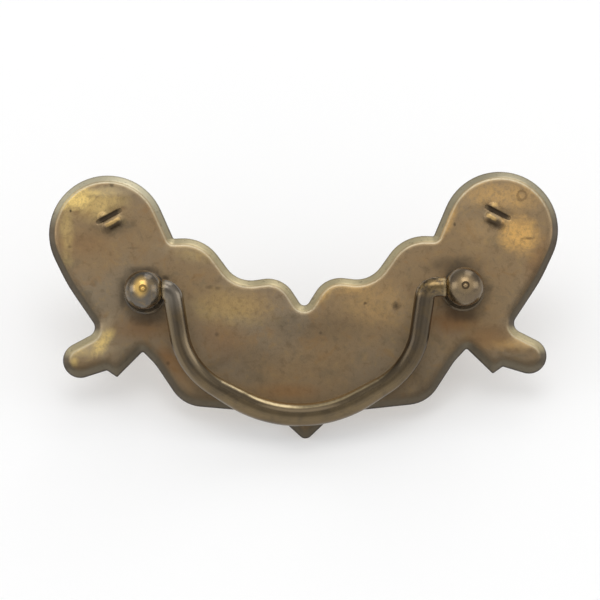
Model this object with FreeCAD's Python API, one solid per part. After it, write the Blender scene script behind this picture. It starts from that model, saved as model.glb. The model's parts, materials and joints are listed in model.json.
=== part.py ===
import FreeCAD, Part
import math
import os

from FreeCAD import Vector

# Drawer pull: a pressed sheet backplate, two turned posts that pass through it,
# and a bail that swings in side holes of the ball heads.
# The back plane of the plate is y = 0, its face looks to -Y, and +Z is up.
# The origin lies midway between the posts on the back plane.

# Plate
plate_length = 122.6
post_spacing = 76.2
plate_depth = 3.0
sheet = 0.9
rim_height = 0.6
bevel_width = 1.65
crease_radius = 1.3
crease_strips = 2
point_radius = 0.12

# Pressed marks in the upper lobes, placed from the middle of the lobe
mark_in = 0.55
mark_up = 4.0
mark_tilt = 28.0
groove_length = 7.0
groove_width = 1.0
groove_depth = 0.35
pip_length = 5.0
pip_width = 2.8
pip_rise = 0.75
pip_wall = 0.6
pip_drop = 1.8
lip_span = 2.6
lip_rise = 0.4
lip_left = 1.5

# Posts
ball_radius = 4.6
ball_standoff = 10.5
nib_radius = 0.52
nib_rise = 0.2
nib_recess_radius = 0.95
nib_recess_depth = 0.35
neck_radius = 2.8
neck_flare = 1.2
collar_radius = 5.2
collar_height = 1.2
collar_chamfer = 0.4
spigot_radius = 2.7
spigot_clearance = 0.1
shank_radius = 2.3
thread_radius = 2.0
thread_lead = 3.0
thread_tail = 2.3
thread_chamfer = 0.4

# Bail
pin_radius = 1.6
pin_length = 3.2
pin_chamfer = 0.3
pin_clearance = 0.075
pin_end_clearance = 0.6
shoulder_gap = 0.15
rod_radius = 2.4
grip_radius = 2.72
bail_drop = 30.7
bend_radius = 2.6
shortest_run = 0.1
loop_shift = 1.2
leg_lean = 8.0
corner_radius = 18.0
grip_half_angle = 30.0
taper_run = 6.0
rest_gap = 0.3

# Fixings behind a drawer front
drawer_front = 19.05
washer_radius = 5.2
washer_thickness = 0.8
washer_clearance = 0.2
nut_flats = 8.0
nut_height = 3.2
nut_chamfer = 0.5
nut_clearance = 0.05

# Derived planes
post_x = post_spacing / 2
face_y = -plate_depth
sheet_back_y = face_y + sheet
axis_y = face_y - ball_standoff
washer_y = drawer_front
nut_y = washer_y + washer_thickness
shank_end_y = nut_y + nut_height + thread_tail
thread_start_y = drawer_front - thread_lead
hole_radius = pin_radius + pin_clearance
shoulder_x = post_x - math.sqrt(ball_radius ** 2 - hole_radius ** 2) - shoulder_gap
bend_x = shoulder_x - loop_shift - shortest_run
rest_angle = math.degrees(math.asin((ball_standoff - grip_radius - rest_gap) / bail_drop))

BULGE = 1
HOLLOW = -1
BACK = Vector(0, 1, 0)
RIGHT = Vector(1, 0, 0)
UP = Vector(0, 0, 1)
ORIGIN = Vector(0, 0, 0)


class Turn:
    """A round stretch of the plate's edge, seen from the front.

    x, z is a point that the edge touches, facing is the way it looks there in degrees,
    and way says whether it bulges out or is hollow.
    """

    def __init__(self, x, z, facing, radius, way):
        self.radius = radius
        self.way = way
        turn = math.radians(facing)
        self.x = x - way * radius * math.cos(turn)
        self.z = z - way * radius * math.sin(turn)

    def moved(self, x, z, radius):
        copy = Turn(0, 0, 0, radius, self.way)
        copy.x = x
        copy.z = z
        return copy

    def mirrored(self):
        return self.moved(-self.x, self.z, self.radius)

    def scaled(self, factor):
        return self.moved(self.x * factor, self.z * factor, self.radius * factor)


# Round stretches of the right half, clockwise from the notch in the top edge
lobe = Turn(47.1, 28.5, 90, 14.0, BULGE)
top_notch = Turn(0.0, -3.2, 90, 1.3, HOLLOW)
right_turns = [
    Turn(8.7, 3.3, 90, 7.0, BULGE),        # crest beside the notch
    Turn(12.7, 2.9, 90, 7.0, HOLLOW),      # dip
    Turn(29.0, 13.2, 90, 10.3, BULGE),     # shoulder
    Turn(31.2, 13.2, 123, 0.4, HOLLOW),    # corner under the lobe
    lobe,
    Turn(57.0, 2.9, 331, 40.0, BULGE),     # side of the lobe
    Turn(50.3, -8.5, 12, 2.2, HOLLOW),     # waist
    Turn(57.9, -15.9, 0, 4.2, BULGE),      # foot
    Turn(47.5, -18.4, 270, 0.5, HOLLOW),   # nick in the foot
    Turn(45.0, -19.9, 265, 0.4, BULGE),    # point of the foot
    Turn(38.8, -14.1, 270, 0.5, HOLLOW),   # notch between foot and body
    Turn(35.7, -17.2, 322, 14.0, HOLLOW),  # ogee
    Turn(24.3, -27.3, 270, 8.7, BULGE),    # lower lobe
    Turn(8.4, -28.9, 270, 2.6, HOLLOW),    # sweep into the drop
]
drop_tip = Turn(0.0, -35.1, 270, 1.8, BULGE)
drawn_turns = [top_notch] + right_turns + [drop_tip]
drawn_turns += [turn.mirrored() for turn in reversed(right_turns)]

# The outline is drawn once and takes its size from the plate's length; the lobe is its widest stretch
outline_scale = plate_length / (2 * (lobe.x + lobe.radius))
turns = [turn.scaled(outline_scale) for turn in drawn_turns]
mark_x = outline_scale * lobe.x - mark_in
mark_z = outline_scale * lobe.z + mark_up


def heading(first, second):
    """Direction of the straight run that leaves one turn and enters the next."""
    across = second.x - first.x
    up = second.z - first.z
    lean = first.way * first.radius - second.way * second.radius
    return math.atan2(up, across) - math.asin(lean / math.hypot(across, up))


def left_of(angle):
    return -math.sin(angle), math.cos(angle)


def inset_turn(turn, heading_in, heading_out, inset):
    """The same turn on an edge that lies inset from this one."""
    radius = turn.radius - turn.way * inset
    if radius >= point_radius:
        return turn.moved(turn.x, turn.z, radius)
    in_x, in_z = left_of(heading_in)
    out_x, out_z = left_of(heading_out)
    shift = (inset + point_radius - turn.radius) / (1 + in_x * out_x + in_z * out_z)
    return turn.moved(turn.x - shift * (in_x + out_x), turn.z - shift * (in_z + out_z), point_radius)


def edge_point(turn, angle, y):
    left_x, left_z = left_of(angle)
    reach = turn.way * turn.radius
    return Vector(turn.x + reach * left_x, y, turn.z + reach * left_z)


def plate_outline(inset, y):
    """Closed wire of arcs and straight runs, inset from the plate's edge, at the depth y."""
    count = len(turns)
    headings = [heading(turns[i], turns[(i + 1) % count]) for i in range(count)]
    inner = [inset_turn(turns[i], headings[i - 1], headings[i], inset) for i in range(count)]
    edges = []
    for i in range(count):
        turn = inner[i]
        after = inner[(i + 1) % count]
        sweep = turn.way * (headings[i - 1] - headings[i]) % (2 * math.pi)
        middle = headings[i - 1] - turn.way * sweep / 2
        start = edge_point(turn, headings[i - 1], y)
        finish = edge_point(turn, headings[i], y)
        edges.append(Part.Arc(start, edge_point(turn, middle, y), finish).toShape())
        edges.append(Part.makeLine(finish, edge_point(after, headings[i], y)))
    return Part.Wire(edges)


def stack(levels):
    """Solid through plate outlines, each an inset and a depth."""
    wires = [plate_outline(inset, y) for inset, y in levels]
    return Part.makeLoft(wires, True, True)


def crease_levels(slope):
    """Insets and depths over the rounded crease, from the bevel to the face."""
    reach = crease_radius * math.tan(slope / 2)
    levels = []
    for step in range(crease_strips + 1):
        turn = slope * (1 - step / crease_strips)
        inset = bevel_width + reach - crease_radius * math.sin(turn)
        levels.append((inset, face_y + crease_radius * (1 - math.cos(turn))))
    return levels


def make_shell():
    """The pressed sheet: a rim, a bevel and a face, open behind."""
    slope = math.atan2(plate_depth - rim_height, bevel_width)
    body = stack([(0, 0), (0, -rim_height)] + crease_levels(slope))
    floor_inset = sheet / math.sin(slope) + (plate_depth - sheet - rim_height) / math.tan(slope)
    return body.cut(stack([(sheet, 0), (floor_inset, sheet_back_y)]))


def place_mark(shape, side):
    """Turn a shape made at the origin to the tilt of a mark, and carry it to that lobe."""
    shape.rotate(ORIGIN, BACK, side * mark_tilt)
    shape.translate(Vector(side * mark_x, 0, mark_z))
    return shape


def cap_radius(span, rise):
    """Radius of the ball whose cap has this span and rise."""
    return ((span / 2) ** 2 + rise ** 2) / (2 * rise)


def rooted(shape, rise, bottom):
    """What a pressed shape adds to the sheet above a height: from the middle of the sheet to its top."""
    reach = groove_length + pip_length
    low = Vector(-reach / 2, face_y - rise, bottom)
    return shape.common(Part.makeBox(reach, rise + sheet / 2, reach, low))


def rounded_rod(radius, run, middle):
    """A rod with ball ends, along the groove."""
    start = middle - RIGHT * run / 2
    rod = Part.makeCylinder(radius, run, start, RIGHT)
    return rod.fuse([Part.makeSphere(radius, start), Part.makeSphere(radius, start + RIGHT * run)])


def make_groove():
    """A blind groove with round ends, which also trims what stands beside it."""
    run = groove_length - groove_width
    depth = pip_rise + groove_depth
    start = Vector(-run / 2, face_y - pip_rise, 0)
    groove = Part.makeBox(run, depth, groove_width, start - UP * groove_width / 2)
    for end in (start, start + RIGHT * run):
        groove = groove.fuse(Part.makeCylinder(groove_width / 2, depth, end, BACK))
    return groove


def add_mark(plate, side):
    """A groove with a long pip pressed forward below it, hollow behind, and a small lip above its left half."""
    pip_run = pip_length - pip_width
    pip_radius = cap_radius(pip_width, pip_rise)
    pip_middle = Vector(0, face_y - pip_rise + pip_radius, -pip_drop)
    pip = rooted(rounded_rod(pip_radius, pip_run, pip_middle), pip_rise, -pip_drop - pip_width)
    hollow = Part.makeCylinder(pip_radius - pip_wall, pip_run, pip_middle - RIGHT * pip_run / 2, RIGHT)
    lip_radius = cap_radius(lip_span, lip_rise)
    lip_middle = Vector(-lip_left, face_y - lip_rise + lip_radius, groove_width / 2)
    lip = rooted(Part.makeSphere(lip_radius, lip_middle), lip_rise, 0)
    plate = plate.fuse([place_mark(pip, side), place_mark(lip, side)])
    plate = plate.cut(place_mark(hollow, side))
    return plate.cut(place_mark(make_groove(), side))


def make_backplate():
    plate = make_shell()
    for side in (-1, 1):
        plate = add_mark(plate, side)
        start = Vector(side * post_x, face_y, 0)
        plate = plate.cut(Part.makeCylinder(spigot_radius + spigot_clearance, plate_depth, start, BACK))
    return plate


def on_ball(radius):
    """Distance of the ball's surface from the ball's middle, along the axis, at a radius."""
    return math.sqrt(ball_radius ** 2 - radius ** 2)


def at(radius, y):
    """Point of a turned profile."""
    return Vector(radius, y, 0)


def post_profile():
    """Half section of a post in the plane z = 0, from the nib round to the threaded end."""
    recess_y = axis_y - ball_radius + nib_recess_depth
    nib_y = recess_y - nib_rise
    nib_curve = cap_radius(2 * nib_radius, nib_rise)
    nib_turn = math.asin(nib_radius / nib_curve) / 2
    nib_flank = at(nib_curve * math.sin(nib_turn), nib_y + nib_curve * (1 - math.cos(nib_turn)))
    recess_edge = at(nib_recess_radius, axis_y - on_ball(nib_recess_radius))
    collar_y = face_y - collar_height
    front = [at(nib_radius, recess_y), at(nib_recess_radius, recess_y), recess_edge]
    behind = [
        at(neck_radius, axis_y + on_ball(neck_radius)),
        at(neck_radius, collar_y - neck_flare),
        at(neck_radius + neck_flare, collar_y),
        at(collar_radius - collar_chamfer, collar_y),
        at(collar_radius, collar_y + collar_chamfer),
        at(collar_radius, face_y),
        at(spigot_radius, face_y),
        at(spigot_radius, sheet_back_y),
        at(shank_radius, sheet_back_y),
        at(shank_radius, thread_start_y),
        at(thread_radius, thread_start_y),
        at(thread_radius, shank_end_y - thread_chamfer),
        at(thread_radius - thread_chamfer, shank_end_y),
        at(0, shank_end_y),
        at(0, nib_y),
    ]
    edges = [Part.Arc(at(0, nib_y), nib_flank, front[0]).toShape()]
    edges += [Part.makeLine(first, second) for first, second in zip(front, front[1:])]
    edges.append(Part.Arc(recess_edge, at(ball_radius, axis_y), behind[0]).toShape())
    edges += [Part.makeLine(first, second) for first, second in zip(behind, behind[1:])]
    return Part.Face(Part.Wire(edges))


def make_post(side):
    """A turned post with a blind hole for the bail in the inner side of its ball."""
    post = post_profile().revolve(ORIGIN, BACK, 360)
    hole_depth = shoulder_x + pin_length + pin_end_clearance - post_x + ball_radius
    hole_start = Vector(-side * ball_radius, axis_y, 0)
    post = post.cut(Part.makeCylinder(hole_radius, hole_depth, hole_start, RIGHT * side))
    post.translate(RIGHT * side * post_x)
    return post


def disc(radius, centre, direction):
    return Part.Face(Part.Wire(Part.makeCircle(radius, centre, direction)))


def make_pin(side, reach):
    """Straight run past a bend, its shoulder and the thinner pin beyond it, along the pin axis."""
    run = Part.makeCylinder(rod_radius, reach - bend_x, RIGHT * side * bend_x, RIGHT * side)
    pin = Part.makeCylinder(pin_radius, pin_length, RIGHT * side * reach, RIGHT * side)
    tip = max(pin.Edges, key=lambda edge: abs(edge.CenterOfMass.x) * edge.Closed)
    return [run, pin.makeChamfer(pin_chamfer, [tip])]


def make_bail():
    """A bent rod, thicker in the grip, built hanging straight down and then leaned to rest."""
    lean = math.radians(leg_lean)
    half_angle = math.radians(grip_half_angle)
    spread = math.tan(half_angle / 2)
    slack = bail_drop - corner_radius - taper_run * spread
    end_reach = (corner_radius + bend_radius * (1 - math.sin(lean))) / math.cos(lean)
    corner_x = (bend_x - end_reach - slack * math.tan(lean)) / (1 - spread * math.tan(lean))
    corner = Vector(corner_x, 0, corner_x * spread - slack)
    grip_bend = corner_radius + (corner_x - taper_run * math.cos(half_angle)) / math.sin(half_angle)
    grip_middle = Vector(0, 0, grip_bend - bail_drop)
    leg_way = Vector(math.sin(lean), 0, math.cos(lean))
    leg_out = Vector(math.cos(lean), 0, -math.sin(lean))
    taper_way = Vector(math.cos(half_angle), 0, math.sin(half_angle))
    taper_out = Vector(math.sin(half_angle), 0, -math.cos(half_angle))
    bend = Vector(bend_x, 0, -bend_radius)
    leg_low = corner + leg_out * corner_radius
    leg_high = bend - leg_out * bend_radius
    taper_low = grip_middle + taper_out * grip_bend
    elbow = disc(rod_radius, leg_high, leg_way).revolve(bend, BACK, 90 - leg_lean)
    leg = Part.makeCylinder(rod_radius, (leg_high - leg_low).Length, leg_low, leg_way)
    bow = disc(rod_radius, leg_low, leg_way).revolve(corner, BACK, 90 - leg_lean - grip_half_angle)
    taper = Part.makeCone(grip_radius, rod_radius, taper_run, taper_low, taper_way)
    grip = disc(grip_radius, taper_low, taper_way).revolve(grip_middle, BACK, 2 * grip_half_angle)
    runs = [grip]
    for side in (-1, 1):
        for piece in (taper, bow, leg, elbow):
            runs.append(piece if side > 0 else piece.mirror(ORIGIN, RIGHT))
        runs += make_pin(side, shoulder_x + side * loop_shift)
    bail = runs[0].multiFuse(runs[1:])
    bail.translate(RIGHT * -loop_shift)
    bail.rotate(ORIGIN, RIGHT, rest_angle)
    bail.translate(BACK * axis_y)
    return bail


def make_washer(side):
    start = Vector(side * post_x, washer_y, 0)
    ring = Part.makeCylinder(washer_radius, washer_thickness, start, BACK)
    return ring.cut(Part.makeCylinder(thread_radius + washer_clearance, washer_thickness, start, BACK))


def make_nut(side):
    """A six-sided nut with its corners turned off at both ends."""
    start = Vector(side * post_x, nut_y, 0)
    corner_reach = nut_flats / math.sqrt(3)
    corners = []
    for step in range(7):
        turn = math.radians(60 * step)
        corners.append(start + Vector(math.cos(turn), 0, math.sin(turn)) * corner_reach)
    block = Part.Face(Part.makePolygon(corners)).extrude(BACK * nut_height)
    blank = Part.makeCylinder(corner_reach, nut_height, start, BACK)
    rims = [edge for edge in blank.Edges if edge.Closed]
    block = block.common(blank.makeChamfer(nut_chamfer, rims))
    return block.cut(Part.makeCylinder(thread_radius + nut_clearance, nut_height, start, BACK))


pieces = {"backplate": make_backplate(), "bail": make_bail()}
for name, side in (("left", -1), ("right", 1)):
    pieces[name + "_post"] = make_post(side)
    pieces[name + "_washer"] = make_washer(side)
    pieces[name + "_nut"] = make_nut(side)

os.makedirs("parts", exist_ok=True)
for name, shape in pieces.items():
    shape.exportStep("parts/" + name + ".step")
    print(name, shape.isValid(), len(shape.Solids), round(shape.Volume, 2))
print("rest angle", round(rest_angle, 2))
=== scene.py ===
import json
import math

import bpy
from mathutils import Color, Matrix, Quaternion, Vector


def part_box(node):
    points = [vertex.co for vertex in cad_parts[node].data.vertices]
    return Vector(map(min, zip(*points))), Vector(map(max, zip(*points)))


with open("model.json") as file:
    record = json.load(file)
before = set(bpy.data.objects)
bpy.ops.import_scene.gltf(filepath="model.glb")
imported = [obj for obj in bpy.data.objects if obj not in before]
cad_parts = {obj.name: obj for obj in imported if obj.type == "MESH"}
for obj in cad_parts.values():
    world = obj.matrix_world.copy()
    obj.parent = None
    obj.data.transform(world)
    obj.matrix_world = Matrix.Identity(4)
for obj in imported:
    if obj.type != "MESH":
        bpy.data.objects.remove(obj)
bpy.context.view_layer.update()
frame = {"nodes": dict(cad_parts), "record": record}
nodes = frame["nodes"]
record = frame["record"]
scene = bpy.context.scene
scene.view_settings.view_transform = "Standard"

# Places on the part, in millimetres of its frame, as all the materials need them
MILLIMETRE = 0.001
POST_X = record["mounts"][0]["dims"]["spacing_x_mm"] / 2
AXIS_Y = record["behaviour"]["joints"][0]["pos_m"][1] / MILLIMETRE
FACE_Y = -3.0
CREASE_Y = -2.44
WALL_Y = -0.6
LEFT = -1
RIGHT = 1

# How noises and patches are laid out; a patch fades between these distances, in its half sizes
NOISE_MIDDLE = 0.5
NOISE_SHIFT_WAY = (1.0, 0.7, -0.4)
PATCH_FADE = (1.5, 0.15)
BEVEL_SAMPLES = 8

# The colour sockets of Blender's Mix node, by number because their names repeat
MIX_AMOUNT = 0
MIX_FIRST = 6
MIX_SECOND = 7
MIX_RESULT = 2


class Nodes:
    """Makes and joins the nodes of one tree. A value is a number, a colour or a node's output."""

    def __init__(self, tree):
        self.tree = tree

    def node(self, kind, **settings):
        made = self.tree.nodes.new(kind)
        for name, value in settings.items():
            setattr(made, name, value)
        return made

    def put(self, socket, value):
        if isinstance(value, bpy.types.NodeSocket):
            self.tree.links.new(value, socket)
        else:
            socket.default_value = value

    def split(self, vector):
        parts = self.node("ShaderNodeSeparateXYZ")
        self.put(parts.inputs[0], vector)
        return parts.outputs

    def math(self, operation, first, second=0.0):
        made = self.node("ShaderNodeMath", operation=operation)
        self.put(made.inputs[0], first)
        self.put(made.inputs[1], second)
        return made.outputs[0]

    def add(self, first, second):
        return self.math("ADD", first, second)

    def less(self, first, second):
        return self.math("SUBTRACT", first, second)

    def times(self, first, *others):
        for other in others:
            first = self.math("MULTIPLY", first, other)
        return first

    def share(self, first, second):
        return self.math("DIVIDE", first, second)

    def most(self, first, *others):
        for other in others:
            first = self.math("MAXIMUM", first, other)
        return first

    def size(self, value):
        return self.math("ABSOLUTE", value)

    def length(self, first, second):
        return self.math("SQRT", self.add(self.times(first, first), self.times(second, second)))

    def span(self, value, low, high, out_low=0.0, out_high=1.0):
        """A smooth step from out_low to out_high while the value goes from low to high."""
        made = self.node("ShaderNodeMapRange", interpolation_type="SMOOTHSTEP")
        for socket, number in zip(made.inputs, (value, low, high, out_low, out_high)):
            self.put(socket, number)
        return made.outputs[0]

    def between(self, value, low, high, soft):
        """One inside the band from low to high, with soft edges."""
        return self.times(self.span(value, low - soft, low), self.span(value, high + soft, high))

    def blend(self, amount, first, second):
        """Two colours mixed by an amount from 0 to 1."""
        made = self.node("ShaderNodeMix", data_type="RGBA")
        self.put(made.inputs[MIX_AMOUNT], amount)
        self.put(made.inputs[MIX_FIRST], first)
        self.put(made.inputs[MIX_SECOND], second)
        return made.outputs[MIX_RESULT]

    def cover(self, colour, over, value, band, strength=1.0):
        """A colour with another over it, up to this strength, while the value goes through the band."""
        return self.blend(self.span(value, *band, 0.0, strength), colour, over)

    def mix(self, amount, first, second):
        """Two surfaces mixed by an amount from 0 to 1."""
        made = self.node("ShaderNodeMixShader")
        for socket, value in zip(made.inputs, (amount, first.outputs[0], second.outputs[0])):
            self.put(socket, value)
        return made


class Shader(Nodes):
    """A material that is put together from nodes; its places are in millimetres of the part's frame."""

    def __init__(self, name):
        self.material = bpy.data.materials.new(name)
        self.material.use_nodes = True
        super().__init__(self.material.node_tree)
        self.tree.nodes.clear()
        coordinates = self.node("ShaderNodeTexCoord")
        scale = self.node("ShaderNodeVectorMath", operation="SCALE")
        self.put(scale.inputs[0], coordinates.outputs["Object"])
        self.put(scale.inputs["Scale"], 1 / MILLIMETRE)
        self.place = scale.outputs[0]
        self.x, self.y, self.z = self.split(self.place)
        self.nx, self.ny, self.nz = self.split(coordinates.outputs["Normal"])

    def noise(self, size, detail, rough, warp=0.0, shift=0.0, stretch=(1, 1, 1)):
        """Cloudy values around the middle, with features of about this size."""
        moved = self.node("ShaderNodeMapping")
        self.put(moved.inputs["Vector"], self.place)
        self.put(moved.inputs["Location"], [shift * part for part in NOISE_SHIFT_WAY])
        self.put(moved.inputs["Scale"], [part / size for part in stretch])
        made = self.node("ShaderNodeTexNoise")
        self.put(made.inputs["Vector"], moved.outputs[0])
        self.put(made.inputs["Scale"], 1.0)
        self.put(made.inputs["Detail"], detail)
        self.put(made.inputs["Roughness"], rough)
        self.put(made.inputs["Distortion"], warp)
        return made.outputs[0]

    def sway(self, noise, reach):
        """A length that follows a noise, above and below nothing."""
        return self.times(self.less(noise, NOISE_MIDDLE), reach)

    def away(self, x, z, wide=1.0, tall=1.0, lean=0.0):
        """Distance from a point of the face, in half widths and half heights, sheared by the lean."""
        up = self.less(self.z, z)
        across = self.less(self.less(self.x, x), self.times(up, lean))
        return self.length(self.share(across, wide), self.share(up, tall))

    def patches(self, places, ragged, reach):
        """Soft patches with ragged edges; each is x, z, half width, half height, lean and strength."""
        total = 0.0
        rag = self.sway(ragged, reach)
        for x, z, wide, tall, lean, strength in places:
            distance = self.add(self.away(x, z, wide, tall, lean), rag)
            total = self.most(total, self.span(distance, *PATCH_FADE, 0.0, strength))
        return total

    def rounded(self, radius):
        """The surface's direction as if its edges were rounded by this radius."""
        bevel = self.node("ShaderNodeBevel", samples=BEVEL_SAMPLES)
        self.put(bevel.inputs["Radius"], self.times(radius, MILLIMETRE))
        return bevel.outputs[0]

    def show(self, surface):
        """The material, with this surface as its output."""
        output = self.node("ShaderNodeOutputMaterial")
        self.put(output.inputs["Surface"], surface.outputs[0])
        return self.material

    def finish(self, colour, metallic, roughness, height, depth, round_edges=None):
        """The material as metal, with bumps of this depth, and rounded edges where a radius is given."""
        surface = self.node("ShaderNodeBsdfPrincipled")
        self.put(surface.inputs["Base Color"], colour)
        self.put(surface.inputs["Metallic"], metallic)
        self.put(surface.inputs["Roughness"], roughness)
        bump = self.node("ShaderNodeBump")
        self.put(bump.inputs["Distance"], depth * MILLIMETRE)
        self.put(bump.inputs["Height"], height)
        if round_edges is not None:
            self.put(bump.inputs["Normal"], self.rounded(round_edges))
        self.put(surface.inputs["Normal"], bump.outputs[0])
        return self.show(surface)


def srgb(red, green, blue):
    """A colour as a screen shows it, from 0 to 255, in linear light."""
    shown = Color((red / 255, green / 255, blue / 255))
    return (*shown.from_srgb_to_scene_linear(), 1.0)


# Wear, stains, painted highlights and painted shade on the plate's face: x, z, half width, half height,
# lean and strength of each patch
# Worn gold, partly a painted highlight where the lobes and their edges catch the light
GOLD_WEAR_AND_HIGHLIGHT_PATCHES = (
    (-53.9, 22.6, 5.2, 3.0, 0.0, 1.0),
    (-50.0, 21.2, 6.5, 3.4, 0.0, 0.5),
    (-57.0, 15.0, 1.6, 7.0, 0.0, 0.3),
    (-48.6, -12.0, 1.8, 3.0, 0.6, 0.7),
    (-55.3, -16.3, 1.1, 1.3, 0.0, 0.45),
    (-54.5, -14.0, 3.0, 1.2, 0.0, 0.3),
    (51.8, 13.4, 4.2, 4.6, -0.2, 0.75),
    (47.5, 22.4, 10.0, 4.0, 0.0, 0.44),
    (34.6, 16.6, 1.6, 4.5, 0.4, 0.45),
    (5.0, -0.8, 1.6, 3.2, 0.8, 0.4),
    (11.5, 0.2, 6.0, 1.5, 0.0, 0.3),
    (49.5, -13.2, 5.5, 1.6, -0.1, 0.3),
    (-26.0, 9.0, 5.0, 2.0, -0.8, 0.18),
    (-17.0, -3.5, 9.0, 4.5, 0.2, 0.22),
    (19.0, -3.0, 9.0, 5.0, 0.0, 0.22),
    (42.0, 14.5, 4.5, 5.0, 0.0, 0.14),
)
ORANGE_PATCHES = (
    (-31.2, -18.2, 2.6, 5.5, -0.6, 0.65),
    (-38.5, -8.5, 7.0, 3.0, 0.0, 0.45),
    (35.5, -7.6, 6.0, 3.4, -0.2, 0.6),
    (43.5, -11.5, 6.0, 3.0, 0.0, 0.35),
    (-52.0, 12.0, 6.0, 3.0, 0.0, 0.25),
    (56.0, 6.5, 2.5, 6.0, 0.3, 0.35),
    (-4.0, -24.0, 7.0, 2.0, 0.0, 0.4),
    (-20.0, -11.0, 6.0, 5.0, -0.2, 0.3),
    (-15.0, -2.5, 8.0, 4.0, 0.2, 0.3),
)
# Dark tarnish, and painted shade around and below the posts and along the lower right edge of the right
# lobe
SMOKE_AND_SHADE_PATCHES = (
    (36.6, 6.0, 6.6, 2.2, 0.0, 0.6),
    (38.4, -6.2, 5.0, 1.8, 0.0, 0.45),
    (-36.4, -6.4, 5.0, 1.8, 0.0, 0.4),
    (54.5, 0.0, 2.4, 8.5, 0.62, 0.55),
    (-46.0, 15.6, 6.0, 2.2, 0.3, 0.3),
    (35.5, 20.5, 1.6, 4.0, 0.5, 0.3),
    (44.6, 19.2, 5.0, 2.0, 0.0, 0.25),
    (4.0, -9.0, 12.0, 4.0, 0.2, 0.28),
    (-14.0, -16.0, 8.0, 4.0, 0.0, 0.2),
    (33.0, -22.5, 6.0, 4.0, 0.0, 0.35),
    (-38.4, 5.4, 3.6, 1.0, 0.0, 0.6),
    (-43.4, -0.5, 0.8, 3.0, 0.0, 0.5),
)
STAINS = (
    (-33.2, 3.4, 0.9, 0.9, 0.0, 0.7),
    (-22.6, 1.2, 0.9, 0.5, 0.0, 0.4),
    (-20.7, 0.9, 0.7, 0.5, 0.0, 0.4),
    (22.0, -3.7, 1.0, 1.0, 0.0, 0.75),
    (14.6, -3.0, 0.4, 0.4, 0.0, 0.7),
    (3.9, -10.0, 0.35, 0.35, 0.0, 0.5),
    (-21.0, -10.2, 0.6, 0.5, 0.0, 0.4),
    (-55.9, 19.9, 0.3, 0.4, 0.0, 0.9),
    (-56.2, 11.3, 0.6, 0.4, 0.0, 0.4),
    (-40.9, 10.8, 1.6, 0.3, 0.0, 0.2),
    (36.3, 15.8, 0.3, 0.5, 0.0, 0.6),
    (54.0, 12.2, 1.6, 0.3, 0.4, 0.5),
    (-46.0, 26.1, 0.6, 0.6, 0.0, 0.7),
    (-38.8, 25.0, 0.5, 0.5, 0.0, 0.7),
    (-14.5, 1.4, 0.6, 0.4, 0.0, 0.8),
    (-19.4, 5.2, 0.6, 0.8, 0.0, 0.5),
    (-32.8, -17.0, 0.5, 0.5, 0.0, 0.5),
)
# Pale patches, partly a painted highlight inside the left lobe's top edge
PALE_AND_HIGHLIGHT_PATCHES = (
    (-52.5, -13.0, 6.0, 2.6, 0.25, 0.5),
    (-49.5, -9.5, 2.2, 4.0, 0.7, 0.35),
    (-30.0, 11.0, 6.0, 1.6, -0.6, 0.2),
    (-48.0, 24.6, 6.5, 1.2, 0.0, 0.6),
    (-30.0, -21.0, 4.0, 4.0, -0.4, 0.2),
    (52.0, -13.0, 4.5, 1.4, -0.3, 0.3),
)

# The face's colours, and the places where they change
SHEET_TONES = (srgb(149, 132, 108), srgb(154, 130, 98))
TAN_MOTTLE = srgb(156, 118, 73)
GREY_MOTTLE = srgb(117, 108, 90)
LIGHT_RIPPLE = srgb(168, 141, 98)
DARK_RIPPLE = srgb(106, 88, 63)
DARK_GRAIN = srgb(88, 74, 52)
LOWER_BROWN = srgb(100, 82, 58)
LOWER_FACE_Z = (4, -24)
ORANGE = srgb(146, 102, 57)
SMOKE_AND_SHADE = srgb(76, 67, 56)
PALE_AND_HIGHLIGHT = srgb(200, 181, 146)
STAIN = srgb(62, 53, 44)
GOLD_TONES = (srgb(255, 222, 140), srgb(246, 194, 114))
GOLD_CHANGES_X = (-20, 20)
# Grime round the posts, partly painted shade where the posts meet the face
POST_GRIME_AND_SHADE = srgb(72, 64, 54)
POST_GRIME_AND_SHADE_RADII = (8.0, 5.2)
POST_GRIME_AND_SHADE_Z = -0.5
RING = srgb(84, 66, 52)
RING_X = 52.6
RING_Z = 22.6
RING_RADIUS = 1.2
RING_WIDTH = 0.3


def ring_over(brass, colour):
    """A faint ragged ring on the right lobe."""
    distance = brass.add(brass.away(RING_X, RING_Z), brass.sway(brass.fleck, 1.4))
    ring = brass.between(distance, RING_RADIUS - RING_WIDTH, RING_RADIUS, RING_WIDTH)
    return brass.blend(brass.times(ring, 0.4), colour, RING)


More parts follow.
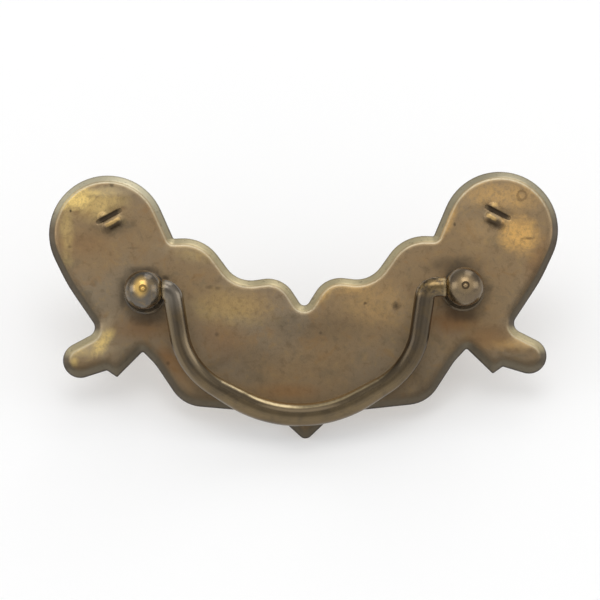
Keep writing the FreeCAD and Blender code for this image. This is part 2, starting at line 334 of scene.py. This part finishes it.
def face_colour(brass):
    """Olive brown sheet, darker towards the bottom, with clouds, worn gold and painted highlights, grime
    and painted shade, and small stains.
    """
    colour = brass.blend(brass.span(brass.clouds, 0.38, 0.62), *SHEET_TONES)
    colour = brass.cover(colour, TAN_MOTTLE, brass.mottle, (0.52, 0.7), 0.35)
    colour = brass.cover(colour, GREY_MOTTLE, brass.mottle, (0.48, 0.32), 0.4)
    colour = brass.cover(colour, LIGHT_RIPPLE, brass.ripple, (0.52, 0.68), 0.35)
    colour = brass.cover(colour, DARK_RIPPLE, brass.ripple, (0.48, 0.32), 0.3)
    colour = brass.cover(colour, LOWER_BROWN, brass.z, LOWER_FACE_Z, 0.35)
    colour = brass.blend(brass.patches(ORANGE_PATCHES, brass.mottle, 1.6), colour, ORANGE)
    # Dark tarnish and painted shade
    colour = brass.blend(brass.patches(SMOKE_AND_SHADE_PATCHES, brass.mottle, 1.4), colour, SMOKE_AND_SHADE)
    # Grime and painted shade round each post
    for side in (LEFT, RIGHT):
        around = brass.add(brass.away(side * POST_X, POST_GRIME_AND_SHADE_Z), brass.sway(brass.mottle, 4.0))
        colour = brass.cover(colour, POST_GRIME_AND_SHADE, around, POST_GRIME_AND_SHADE_RADII, 0.45)
    # Pale patches, partly painted highlight
    colour = brass.blend(brass.patches(PALE_AND_HIGHLIGHT_PATCHES, brass.mottle, 2.0), colour, PALE_AND_HIGHLIGHT)
    # Worn gold, partly a painted highlight
    flecked = brass.span(brass.fleck, 0.3, 0.58, 0.5, 1.0)
    wear_and_highlight = brass.times(brass.patches(GOLD_WEAR_AND_HIGHLIGHT_PATCHES, brass.mottle, 2.2), flecked)
    colour = brass.blend(wear_and_highlight, colour, brass.blend(brass.span(brass.x, *GOLD_CHANGES_X), *GOLD_TONES))
    colour = brass.blend(brass.patches(STAINS, brass.fleck, 1.2), colour, STAIN)
    colour = ring_over(brass, colour)
    return brass.cover(colour, DARK_GRAIN, brass.grain, (0.55, 0.75), 0.25)


# The rim's colours and places; many bevel tones are painted light, reflection and shade, by the way each
# edge faces
BEVEL_TONES = (srgb(92, 82, 69), srgb(100, 87, 67))
BEVEL_FLECK = srgb(86, 77, 65)
# Painted reflection of the white table on downward-facing bevels, and painted shade on the bottom ones
LOWER_BEVEL_REFLECTION = srgb(112, 103, 86)
BOTTOM_BEVEL_SHADE = srgb(78, 66, 50)
BOTTOM_BEVEL_Z = (-21, -25)
# Painted light on upward-facing bevels
UPPER_BEVEL_LIGHT = srgb(194, 180, 142)
LIT_LOBE_BEVEL_TONES = (srgb(214, 205, 175), srgb(178, 168, 140))
LOBES_X = (-30, 30)
LOBES_Z = (10, 24)
# Painted shade on the rim's outer wall, half as much on upper edges
WALL_SHADE = srgb(66, 59, 50)
WALL_BAND = (WALL_Y - 0.7, WALL_Y)
# Painted highlight on the face where it turns up into an upper edge
INSIDE_EDGE_HIGHLIGHT = srgb(190, 170, 132)
CRISP_CREASE = (FACE_Y + 0.1, CREASE_Y)
SOFT_CREASE_RADIUS = 2.6
SOFT_CREASE_Z = (0, -10)
# A worn line along upper creases, partly a painted highlight
WORN_AND_HIGHLIGHT_LINE = srgb(200, 189, 160)
WORN_AND_HIGHLIGHT_LINE_BAND = (FACE_Y + 0.08, FACE_Y + 0.15)
WORN_AND_HIGHLIGHT_LINE_SOFT = 0.04
WORN_AND_HIGHLIGHT_LINE_Z = (8, 16)
# Painted shade near lower edges and in their crease
LOWER_SHADE = srgb(68, 59, 46)
LOWER_CREASE_SHADE = srgb(58, 48, 37)
LEAST_STEEP = 0.0025


def bevel_colour(brass, upper, lower):
    """The bevel: painted light on upper edges, most of all on the lobes, a painted reflection on lower
    edges, dull on the others, painted shade at the bottom and at the wall.
    """
    bevel = brass.blend(brass.span(brass.mottle, 0.4, 0.62), *BEVEL_TONES)
    bevel = brass.blend(lower, bevel, LOWER_BEVEL_REFLECTION)
    bevel = brass.cover(bevel, BOTTOM_BEVEL_SHADE, brass.z, BOTTOM_BEVEL_Z, 0.45)
    on_lobes = brass.blend(brass.span(brass.x, *LOBES_X), *LIT_LOBE_BEVEL_TONES)
    bevel = brass.blend(upper, bevel, brass.blend(brass.span(brass.z, *LOBES_Z), UPPER_BEVEL_LIGHT, on_lobes))
    bevel = brass.cover(bevel, BEVEL_FLECK, brass.fleck, (0.55, 0.72), 0.45)
    wall = brass.times(brass.span(brass.y, *WALL_BAND), brass.less(1.0, brass.times(upper, 0.5)))
    return brass.blend(wall, bevel, WALL_SHADE)


def rim_over(brass, colour):
    """The bevel and its crease: crisp and worn on upper edges, with painted highlights there; soft and
    darkened by painted shade on lower edges.
    """
    steep = brass.math("SQRT", brass.most(brass.less(1.0, brass.times(brass.ny, brass.ny)), LEAST_STEEP))
    lift = brass.share(brass.nz, steep)
    upper = brass.span(lift, 0.0, 0.75)
    lower = brass.span(lift, 0.1, -0.7)
    _, soft_y, soft_z = brass.split(brass.rounded(SOFT_CREASE_RADIUS))
    # Painted highlight where the face turns up into an upper edge
    colour = brass.cover(colour, INSIDE_EDGE_HIGHLIGHT, soft_z, (0.02, 0.5), 0.3)
    crisp = brass.span(brass.y, *CRISP_CREASE)
    soft = brass.span(soft_y, -0.98, -0.8)
    low_down = brass.span(brass.z, *SOFT_CREASE_Z)
    edge = brass.add(brass.times(crisp, brass.less(1.0, low_down)), brass.times(soft, low_down))
    colour = brass.blend(edge, colour, bevel_colour(brass, upper, lower))
    # Worn line along upper creases, partly a painted highlight
    line = brass.between(brass.y, *WORN_AND_HIGHLIGHT_LINE_BAND, WORN_AND_HIGHLIGHT_LINE_SOFT)
    flecked = brass.span(brass.fleck, 0.3, 0.55, 0.3, 0.8)
    wear_and_highlight = brass.times(line, upper, flecked, brass.span(brass.z, *WORN_AND_HIGHLIGHT_LINE_Z, 0.7, 1.0))
    colour = brass.blend(wear_and_highlight, colour, WORN_AND_HIGHLIGHT_LINE)
    # Painted shade near lower edges and in their crease
    colour = brass.cover(colour, LOWER_SHADE, soft_z, (-0.02, -0.6), 0.2)
    crease_shade = brass.between(soft_z, -0.45, -0.2, 0.16)
    return brass.blend(brass.times(crease_shade, 0.5), colour, LOWER_CREASE_SHADE)


# The pressed marks: their middles and tilt, and places along and above the middle of the groove
MARK_X = 46.7
MARK_Z = 18.55
MARK_TILT = math.radians(28)
# Worn brass, partly painted highlight, on the pips' ridges and lips
MARK_WORN_HIGHLIGHT = srgb(206, 172, 112)
# Painted shade in the groove
GROOVE_SHADE = srgb(60, 50, 40)
GROOVE_HALF_WIDTH = 0.4
GROOVE_ENDS = (3.5, 2.0)
LIP_ALONG = -1.5
LIP_ABOVE = 1.3
LIP_RADII = (1.3, 0.3)
RIDGE_ABOVE = (-1.95, -1.45)
RIDGE_SOFT = 0.35
RIDGE_PAST_END = 0.5
RIDGE_BEFORE_END = 0.6
SHADE = srgb(66, 56, 44)
SHADE_ABOVE = -2.6
SHADE_HALF_LENGTH = 2.6
SHADE_HALF_HEIGHT = 1.3

# Each mark: side, middle and half length of the ridge's painted highlight, middle of the painted shade
# below it
MARKS = ((LEFT, 0.2, 1.9, 0.0), (RIGHT, -0.9, 1.3, 0.5))


def mark_places(brass, side):
    """Distances along this side's groove and above it, from its middle."""
    across = brass.less(brass.x, side * MARK_X)
    up = brass.less(brass.z, MARK_Z)
    cosine = math.cos(side * MARK_TILT)
    sine = math.sin(side * MARK_TILT)
    along = brass.less(brass.times(across, cosine), brass.times(up, sine))
    above = brass.add(brass.times(across, sine), brass.times(up, cosine))
    return along, above


def marks_over(brass, colour):
    """The pressed marks: painted shade in the groove and below the pip, wear and painted highlight on the
    pip's ridge and the lip.
    """
    rag = brass.sway(brass.fleck, 0.8)
    for side, ridge_middle, ridge_half, shade_middle in MARKS:
        along, above = mark_places(brass, side)
        shade_along = brass.share(brass.less(along, shade_middle), SHADE_HALF_LENGTH)
        shade_above = brass.share(brass.less(above, SHADE_ABOVE), SHADE_HALF_HEIGHT)
        shade = brass.add(brass.length(shade_along, shade_above), rag)
        colour = brass.cover(colour, SHADE, shade, (1.3, 0.4), 0.75)
        # Wear and painted highlight along the pip's ridge
        ridge = brass.between(brass.add(above, rag), *RIDGE_ABOVE, RIDGE_SOFT)
        ridge_ends = (ridge_half + RIDGE_PAST_END, ridge_half - RIDGE_BEFORE_END)
        ridge = brass.times(ridge, brass.span(brass.size(brass.less(along, ridge_middle)), *ridge_ends))
        colour = brass.blend(brass.times(ridge, 0.8), colour, MARK_WORN_HIGHLIGHT)
        # Wear and painted highlight on the lip
        from_lip = brass.length(brass.less(along, LIP_ALONG), brass.less(above, LIP_ABOVE))
        lip = brass.times(brass.span(from_lip, *LIP_RADII, 0.0, 0.6), brass.span(brass.fleck, 0.4, 0.6))
        colour = brass.blend(lip, colour, MARK_WORN_HIGHLIGHT)
        # Painted shade in the groove
        groove_shade = brass.between(above, -GROOVE_HALF_WIDTH, GROOVE_HALF_WIDTH, GROOVE_HALF_WIDTH)
        groove_end = brass.add(brass.size(along), brass.times(rag, 2.0))
        groove_shade = brass.times(groove_shade, brass.span(groove_end, *GROOVE_ENDS, 0.0, 0.9))
        colour = brass.blend(groove_shade, colour, GROOVE_SHADE)
    return colour


# The back's colours, and the heights between which the plate's edges turn from crisp to soft
BACK_TONES = (srgb(172, 145, 96), srgb(154, 128, 84))
BACK_RIPPLE = srgb(122, 101, 68)
BACK_GRAIN = srgb(108, 89, 60)
PLATE_EDGE_Z = (6, -8)
PLATE_EDGE_RADII = (0.6, 1.6)


def back_colour(brass):
    """The hollow back: plainer and brighter than the face."""
    colour = brass.blend(brass.span(brass.clouds, 0.35, 0.65), *BACK_TONES)
    colour = brass.cover(colour, BACK_RIPPLE, brass.ripple, (0.45, 0.7), 0.35)
    return brass.cover(colour, BACK_GRAIN, brass.grain, (0.55, 0.75), 0.3)


def plate_material():
    """Old pressed sheet: aged in front, plainer behind."""
    brass = Shader("aged_plate")
    brass.clouds = brass.noise(22, detail=3, rough=0.5, warp=0.5, shift=4)
    brass.mottle = brass.noise(5, detail=5, rough=0.62, warp=0.7, shift=31)
    brass.ripple = brass.noise(2.2, detail=4, rough=0.6, warp=0.4, shift=52)
    brass.fleck = brass.noise(1.0, detail=4, rough=0.65, warp=0.3, shift=77)
    brass.grain = brass.noise(0.3, detail=2, rough=0.6, shift=13)
    colour = marks_over(brass, rim_over(brass, face_colour(brass)))
    colour = brass.cover(colour, back_colour(brass), brass.ny, (0.2, 0.6))
    rough = brass.span(brass.fleck, 0.3, 0.7, 0.36, 0.48)
    fine = brass.add(brass.times(brass.fleck, 0.2), brass.times(brass.grain, 0.12))
    height = brass.add(brass.times(brass.mottle, 0.4), fine)
    edges = brass.span(brass.z, *PLATE_EDGE_Z, *PLATE_EDGE_RADII)
    return brass.finish(colour, 0.9, rough, height, depth=0.05, round_edges=edges)


# The bail's colours and places
ROD_TONES = (srgb(84, 75, 63), srgb(94, 81, 62))
ROD_FLECK = srgb(66, 57, 47)
HANDLED = srgb(126, 109, 82)
HANDLED_Z = (-16, -27)
# Painted highlights on the left leg
LEG_HIGHLIGHT = srgb(124, 110, 88)
LEFT_LEG_X = (-12, -20)
LOWER_LEG_Z = (-7, -15)
# Painted shade inside the right leg
LEG_SHADE = srgb(60, 52, 42)
RIGHT_LEG_X = (14, 20)
GRIP_SHADE = srgb(70, 61, 48)
GRIP_SHADE_Z = (-14, -24)
UNDERSIDE = srgb(80, 72, 61)
UNDERSIDE_Z = (-28.5, -31.5)
RIGHT_ELBOW = srgb(160, 134, 90)
RIGHT_ELBOW_X = (24, 28)
RIGHT_ELBOW_Z = (-3.5, 0.5)
# Grey, painted light that lifts the shade between the left ball and the bail
LEFT_ELBOW_PAINTED_LIGHT = srgb(132, 125, 114)
LEFT_ELBOW_X = (-21, -26)
LEFT_ELBOW_Z = (-7, -1)
# Worn line along the grip's top, partly a painted highlight
GRIP_WORN_HIGHLIGHT = srgb(206, 187, 147)
GRIP_WORN_HIGHLIGHT_Z = (-12, -27)
# Worn brass at the pins, partly painted light that lifts the shade between ball and bail
WORN_AND_LIT_PIN = srgb(168, 150, 116)
PIN_X = (POST_X - 5.5, POST_X - 4.5)
ROD_EDGE_RADIUS = 1.5


def legs_over(brass, colour):
    """Painted highlights on the left leg, outside and low down inside; painted shade inside the right leg.
    """
    inside = brass.times(brass.span(brass.nx, 0.0, 0.35), brass.span(brass.z, *LOWER_LEG_Z))
    outside = brass.span(brass.nx, -0.3, -0.5)
    leg_highlights = brass.times(brass.most(inside, outside), brass.span(brass.x, *LEFT_LEG_X, 0.0, 0.8))
    colour = brass.blend(leg_highlights, colour, LEG_HIGHLIGHT)
    # Painted shade inside the right leg
    dull = brass.times(brass.span(brass.nx, -0.15, -0.4), brass.span(brass.x, *RIGHT_LEG_X, 0.0, 0.5))
    return brass.blend(dull, colour, LEG_SHADE)


def elbows_over(brass, colour, fleck):
    """The bends at the balls: rubbed golden on the right; grey on the left, painted light there that lifts
    the shade next to the ball.
    """
    right = brass.times(brass.span(brass.z, *RIGHT_ELBOW_Z), brass.span(brass.x, *RIGHT_ELBOW_X, 0.0, 0.7))
    colour = brass.blend(brass.times(right, brass.span(fleck, 0.35, 0.6)), colour, RIGHT_ELBOW)
    left = brass.times(brass.span(brass.z, *LEFT_ELBOW_Z), brass.span(brass.x, *LEFT_ELBOW_X, 0.0, 0.6))
    return brass.blend(left, colour, LEFT_ELBOW_PAINTED_LIGHT)


def bail_material():
    """Dark brown rod, browner where the grip is handled and worn bright along the top of it, a line that
    is partly a painted highlight; painted highlights and shade on the legs and grip.
    """
    brass = Shader("dark_bail")
    mottle = brass.noise(5, detail=4, rough=0.6, warp=0.6, shift=31)
    fleck = brass.noise(1.0, detail=3, rough=0.6, warp=0.3, shift=9)
    grain = brass.noise(0.3, detail=2, rough=0.6, shift=13)
    colour = brass.blend(brass.span(mottle, 0.36, 0.64), *ROD_TONES)
    handled = brass.times(brass.span(brass.z, *HANDLED_Z), brass.span(mottle, 0.3, 0.6, 0.4, 0.8))
    colour = legs_over(brass, brass.blend(handled, colour, HANDLED))
    below_top = brass.between(brass.nz, 0.15, 0.4, 0.12)
    shade = brass.times(below_top, brass.span(brass.z, *GRIP_SHADE_Z, 0.0, 0.75))
    colour = brass.blend(shade, colour, GRIP_SHADE)
    colour = brass.cover(colour, UNDERSIDE, brass.z, UNDERSIDE_Z, 0.15)
    colour = brass.cover(colour, ROD_FLECK, fleck, (0.58, 0.76), 0.25)
    colour = elbows_over(brass, colour, fleck)
    # Worn line along the grip's top, partly a painted highlight
    top = brass.between(brass.nz, 0.58, 0.86, 0.1)
    flecked = brass.span(fleck, 0.3, 0.6, 0.6, 1.0)
    wear_and_highlight = brass.times(top, brass.span(brass.z, *GRIP_WORN_HIGHLIGHT_Z, 0.0, 0.6), flecked)
    colour = brass.blend(wear_and_highlight, colour, GRIP_WORN_HIGHLIGHT)
    # Worn and painted light at the pins
    colour = brass.cover(colour, WORN_AND_LIT_PIN, brass.size(brass.x), PIN_X, 0.6)
    rough = brass.span(mottle, 0.3, 0.7, 0.13, 0.22)
    height = brass.add(mottle, brass.times(grain, 0.08))
    return brass.finish(colour, 0.95, rough, height, depth=0.02, round_edges=ROD_EDGE_RADIUS)


# The posts' colours and places, and what is different on the two of them
POST_BROWN = srgb(124, 108, 84)
POST_RINGS = srgb(70, 64, 58)
POST_TOP = srgb(70, 67, 64)
POST_TOP_Z = (0.5, 4.0)
TIP_Z = 0.4
TIP_FULL_SHARE = 0.3
BALL_FRONT_Y = (AXIS_Y - 1, AXIS_Y - 3)
NIB_RING = srgb(70, 58, 47)
NIB_RING_RADII = (0.6, 0.9)
NIB_RING_SOFT = 0.12
NIB_Y = (AXIS_Y - 3, AXIS_Y - 4)
# Worn brass round the pin hole, partly painted light that lifts the shade between ball and bail
WORN_AND_LIT_BEARING = srgb(190, 166, 118)
BEARING_RADII = (3.2, 2.0)
BALL_INSIDE_X = (POST_X - 2.5, POST_X - 3.5)
NECK = srgb(72, 66, 58)
NECK_Y = (-8.2, -4.0)
SHANK_TONES = (srgb(168, 142, 94), srgb(152, 129, 86))
SHANK_Y = (FACE_Y + 0.4, FACE_Y + 1.1)
RING_STRETCH = (0.05, 1, 0.05)
# Each tip colour is worn brass on the ball's front, partly a painted highlight
POST_LOOKS = {
    "left_post": {
        "side": LEFT,
        "dull": srgb(100, 95, 88),
        "tip": srgb(214, 176, 102),
        "tip_left": 0.5,
        "tip_size": 2.2,
        "tip_tall": 1.4,
        "nib_dark": 0.3,
    },
    "right_post": {
        "side": RIGHT,
        "dull": srgb(110, 96, 78),
        "tip": srgb(150, 128, 96),
        "tip_left": 0.0,
        "tip_size": 2.8,
        "tip_tall": 1.0,
        "nib_dark": 0.7,
    },
}


def post_material(name, side, dull, tip, tip_left, tip_size, tip_tall, nib_dark):
    """Turned brass, tarnished, worn at the ball's front with a painted highlight there, worn round the
    bail's pin with painted light that lifts the shade there, with a plain shank.
    """
    brass = Shader(name)
    mottle = brass.noise(3, detail=4, rough=0.6, warp=0.6, shift=31 + side)
    rings = brass.noise(0.9, detail=2, rough=0.6, shift=3, stretch=RING_STRETCH)
    swell = brass.noise(2.5, detail=1, rough=0.5, shift=17)
    colour = brass.blend(brass.span(mottle, 0.36, 0.64), dull, POST_BROWN)
    colour = brass.cover(colour, POST_RINGS, rings, (0.5, 0.7), 0.35)
    colour = brass.cover(colour, POST_TOP, brass.z, POST_TOP_Z, 0.25)
    # Worn at the ball's front, partly a painted highlight
    from_tip = brass.away(side * POST_X - tip_left, TIP_Z, tall=tip_tall)
    wear_and_highlight = brass.span(brass.add(from_tip, brass.sway(mottle, 1.2)), tip_size, tip_size * TIP_FULL_SHARE)
    colour = brass.blend(brass.times(wear_and_highlight, brass.span(brass.y, *BALL_FRONT_Y)), colour, tip)
    nib = brass.between(brass.away(side * POST_X, 0.0), *NIB_RING_RADII, NIB_RING_SOFT)
    colour = brass.blend(brass.times(nib, brass.span(brass.y, *NIB_Y, 0.0, nib_dark)), colour, NIB_RING)
    # Worn round the pin, partly painted light that lifts the shade between ball and bail
    from_axis = brass.length(brass.less(brass.y, AXIS_Y), brass.z)
    inside = brass.span(brass.times(brass.x, side), *BALL_INSIDE_X)
    bearing = brass.times(brass.span(from_axis, *BEARING_RADII, 0.0, 0.7), inside)
    colour = brass.blend(bearing, colour, WORN_AND_LIT_BEARING)
    colour = brass.cover(colour, NECK, brass.y, NECK_Y, 0.6)
    shank = brass.blend(brass.span(mottle, 0.4, 0.6), *SHANK_TONES)
    colour = brass.cover(colour, shank, brass.y, SHANK_Y)
    rough = brass.add(brass.span(mottle, 0.3, 0.7, 0.2, 0.3), brass.span(brass.y, *SHANK_Y, 0.0, 0.1))
    height = brass.add(swell, brass.times(rings, 0.3))
    return brass.finish(colour, 0.95, rough, height, depth=0.02)


# The washers and nuts
FIXING_TONES = (srgb(154, 130, 84), srgb(176, 150, 98))
FIXING_FLECK = srgb(106, 88, 58)
FIXING_EDGE_RADIUS = 0.15


def fixing_material():
    """Plain dull brass with a little brown in it."""
    brass = Shader("dull_fixing")
    mottle = brass.noise(3, detail=4, rough=0.6, warp=0.6, shift=31)
    fleck = brass.noise(0.6, detail=3, rough=0.6, warp=0.3, shift=9)
    colour = brass.blend(brass.span(mottle, 0.36, 0.64), *FIXING_TONES)
    colour = brass.cover(colour, FIXING_FLECK, fleck, (0.55, 0.72), 0.5)
    rough = brass.span(fleck, 0.3, 0.7, 0.3, 0.45)
    return brass.finish(colour, 0.95, rough, fleck, depth=0.03, round_edges=FIXING_EDGE_RADIUS)


def dress(names, material):
    for name in names:
        mesh = nodes[name].data
        mesh.materials.clear()
        mesh.materials.append(material)


dress(["backplate"], plate_material())
dress(["bail"], bail_material())
for post, look in POST_LOOKS.items():
    dress([post], post_material(f"{post}_brass", **look))
dress(["left_washer", "right_washer", "left_nut", "right_nut"], fixing_material())

# The pull lies on a white table, on its lower edge and the ends of its studs; sizes are in metres,
# except that the table fades away between two distances in the material's millimetres
STUD_END_RADIUS = 1.6 * MILLIMETRE
TABLE_GAP = 0.6 * MILLIMETRE
TABLE_HALF = 1.5
TABLE_CORNERS = ((-1, -1), (1, -1), (1, 1), (-1, 1))
TABLE_WHITE = (0.95, 0.95, 0.95, 1)
TABLE_ROUGHNESS = 0.9
TABLE_SPECULAR = 0.1
TABLE_GLOW = 0.28
TABLE_FADE = (350, 1400)
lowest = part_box("backplate")[0].z
stud_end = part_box("left_post")[1].y
table_tilt = math.atan2(-STUD_END_RADIUS - lowest, stud_end)
table_up = Vector((0, -math.sin(table_tilt), math.cos(table_tilt)))
table_point = Vector((0, 0, lowest)) - table_up * TABLE_GAP


def table_material():
    """White, and lifted a little for the eye; clear far away, and from below so that the back is seen."""
    table = Shader("white_table")
    white = table.node("ShaderNodeBsdfPrincipled")
    table.put(white.inputs["Base Color"], TABLE_WHITE)
    table.put(white.inputs["Roughness"], TABLE_ROUGHNESS)
    table.put(white.inputs["Specular IOR Level"], TABLE_SPECULAR)
    glow = table.node("ShaderNodeEmission")
    ray = table.node("ShaderNodeLightPath").outputs
    seen = table.most(ray["Is Camera Ray"], ray["Is Glossy Ray"], ray["Is Transmission Ray"])
    lifted = table.mix(table.times(seen, TABLE_GLOW), white, glow)
    distance = table.node("ShaderNodeVectorMath", operation="LENGTH")
    table.put(distance.inputs[0], table.place)
    faded = table.span(distance.outputs["Value"], *TABLE_FADE)
    below = table.node("ShaderNodeNewGeometry").outputs["Backfacing"]
    clear = table.node("ShaderNodeBsdfTransparent")
    return table.show(table.mix(table.most(below, faded), lifted, clear))


def add_table():
    mesh = bpy.data.meshes.new("table")
    right = Vector((1, 0, 0))
    back = table_up.cross(right)
    corners = []
    for across, along in TABLE_CORNERS:
        corners.append(table_point + (right * across + back * along) * TABLE_HALF)
    mesh.from_pydata(corners, [], [range(len(corners))])
    table = bpy.data.objects.new("table", mesh)
    scene.collection.objects.link(table)
    mesh.materials.append(table_material())


# Each softbox: the way to it from the middle of the part, its width and height in metres, its power
SOFTBOX_DISTANCE = 1.6
SOFTBOXES = {
    "key": (table_up, 1.0, 0.9, 4.4),
    "top": (Vector((0.3, -0.02, 1)), 1.2, 0.8, 4.5),
    "left": (Vector((-1, -0.4, 0.1)), 1.0, 0.9, 4.0),
    "right": (Vector((1, -0.4, 0.1)), 1.0, 0.9, 3.0),
}


def add_softbox(name, way, width, height, power):
    """A rectangular lamp that looks at the middle of the part."""
    lamp = bpy.data.lights.new(name, "AREA")
    lamp.shape = "RECTANGLE"
    lamp.size = width
    lamp.size_y = height
    lamp.energy = power
    box = bpy.data.objects.new(name, lamp)
    toward = way.normalized()
    box.location = toward * SOFTBOX_DISTANCE
    box.rotation_mode = "QUATERNION"
    box.rotation_quaternion = (-toward).to_track_quat("-Z", "Y")
    scene.collection.objects.link(box)


# The room's light: its levels, and where they change along y, from -1 in front to 1 behind
ROOM_WHITE = (1, 1, 1, 1)
ROOM_LEVELS = (0.9, 0.45)
ROOM_CHANGES_Y = (-0.8, 0.4)
PHOTOGRAPHER_SHADE = 0.5
PHOTOGRAPHER_Y = (-0.99, -0.8)


def add_world():
    """Pale surroundings, brighter before the part than behind it, and dimmer round the photographer."""
    world = bpy.data.worlds.new("studio")
    world.use_nodes = True
    room = Nodes(world.node_tree)
    _, way_y, _ = room.split(room.node("ShaderNodeTexCoord").outputs["Generated"])
    level = room.span(way_y, *ROOM_CHANGES_Y, *ROOM_LEVELS)
    photographer = room.span(way_y, *PHOTOGRAPHER_Y, PHOTOGRAPHER_SHADE, 1.0)
    background = world.node_tree.nodes["Background"]
    room.put(background.inputs["Color"], ROOM_WHITE)
    room.put(background.inputs["Strength"], room.times(level, photographer))
    scene.world = world


# Camera at the photograph's place: a little below the face's middle line, 900 mm away
ELEVATION = math.radians(-4.0)
ROLL = math.radians(-0.55)
DISTANCE = 900 * MILLIMETRE
FIELD = 143.95 * MILLIMETRE
SHIFT_LEFT = 1.008 * MILLIMETRE
SHIFT_DOWN = 2.087 * MILLIMETRE
SENSOR_WIDTH = 36


def add_camera():
    aim = Vector((0, FACE_Y, 0)) * MILLIMETRE
    back = Vector((0, -math.cos(ELEVATION), math.sin(ELEVATION)))
    look = (-back).to_track_quat("-Z", "Y")
    right = look @ Vector((1, 0, 0))
    up = look @ Vector((0, 1, 0))
    lens = bpy.data.cameras.new("camera")
    lens.sensor_width = SENSOR_WIDTH
    lens.lens = SENSOR_WIDTH * DISTANCE / FIELD
    camera = bpy.data.objects.new("camera", lens)
    camera.rotation_mode = "QUATERNION"
    camera.rotation_quaternion = look @ Quaternion((0, 0, 1), ROLL)
    camera.location = aim + back * DISTANCE - right * SHIFT_LEFT - up * SHIFT_DOWN
    scene.collection.objects.link(camera)
    scene.camera = camera


add_table()
for softbox, settings in SOFTBOXES.items():
    add_softbox(softbox, *settings)
add_world()
add_camera()
